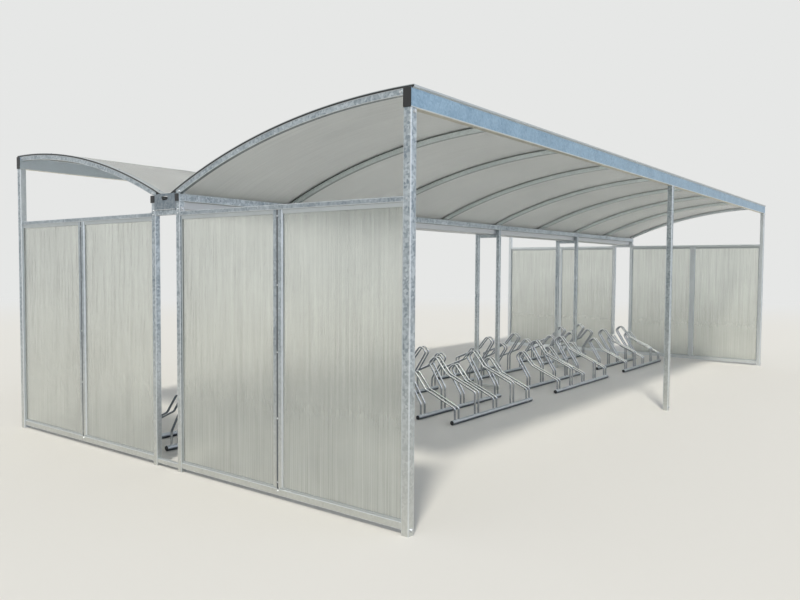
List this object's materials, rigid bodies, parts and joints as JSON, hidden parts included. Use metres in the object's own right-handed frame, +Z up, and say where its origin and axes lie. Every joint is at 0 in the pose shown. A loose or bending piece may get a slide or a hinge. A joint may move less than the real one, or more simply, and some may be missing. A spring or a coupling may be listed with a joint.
{
  "type": "bike shelter",
  "caption": "Double-sided open bike shelter with arched translucent roof halves falling to a central gutter, sheeted end walls and bent-rod wheel racks.",
  "frame": {"origin": "on the ground, in the middle of the plan", "axes": "+X along the shelter, +Y across it towards the rear half, +Z up"},
  "size_m": [8.458, 4.08, 2.273],
  "materials": {
    "galvanised_steel": "hot-dip galvanised, matt grey",
    "galvanised_sheet": "galvanised sheet",
    "bright_zinc_rod": "bright galvanised rod",
    "aluminium_profile": "mill finish",
    "roof_sheet": "translucent fluted sheet",
    "wall_sheet": "translucent fluted sheet",
    "black_plastic": "moulded"
  },
  "bodies": {
    "root": {"beam_end_caps": "black_plastic", "cover_strips_front": "aluminium_profile", "cover_strips_rear": "aluminium_profile", "gable_frame_left_front": "galvanised_steel", "gable_frame_left_rear": "galvanised_steel", "gable_frame_right_front": "galvanised_steel", "gable_frame_right_rear": "galvanised_steel", "gable_panels_left_front": "wall_sheet", "gable_panels_left_rear": "wall_sheet", "gable_panels_right_front": "wall_sheet", "gable_panels_right_rear": "wall_sheet", "gutter": "galvanised_sheet", "gutter_end_plates": "galvanised_sheet", "inner_beam_front": "galvanised_steel", "inner_beam_rear": "galvanised_steel", "inner_posts_front": "galvanised_steel", "inner_posts_rear": "galvanised_steel", "outer_beam_front": "galvanised_steel", "outer_beam_rear": "galvanised_steel", "outer_posts_front": "galvanised_steel", "outer_posts_rear": "galvanised_steel", "post_pair_ties": "galvanised_steel", "rack_front_1_holders": "bright_zinc_rod", "rack_front_1_rails": "galvanised_steel", "rack_front_2_holders": "bright_zinc_rod", "rack_front_2_rails": "galvanised_steel", "rack_front_3_holders": "bright_zinc_rod", "rack_front_3_rails": "galvanised_steel", "rack_front_4_holders": "bright_zinc_rod", "rack_front_4_rails": "galvanised_steel", "rack_rail_plugs": "black_plastic", "rack_rear_1_holders": "bright_zinc_rod", "rack_rear_1_rails": "galvanised_steel", "rack_rear_2_holders": "bright_zinc_rod", "rack_rear_2_rails": "galvanised_steel", "rack_rear_3_holders": "bright_zinc_rod", "rack_rear_3_rails": "galvanised_steel", "rack_rear_4_holders": "bright_zinc_rod", "rack_rear_4_rails": "galvanised_steel", "rafter_brackets": "galvanised_sheet", "rafters_front": "galvanised_steel", "rafters_rear": "galvanised_steel", "roof_edge_trims": "aluminium_profile", "roof_sheets_front": "roof_sheet", "roof_sheets_rear": "roof_sheet"}
  },
  "joints": []
}
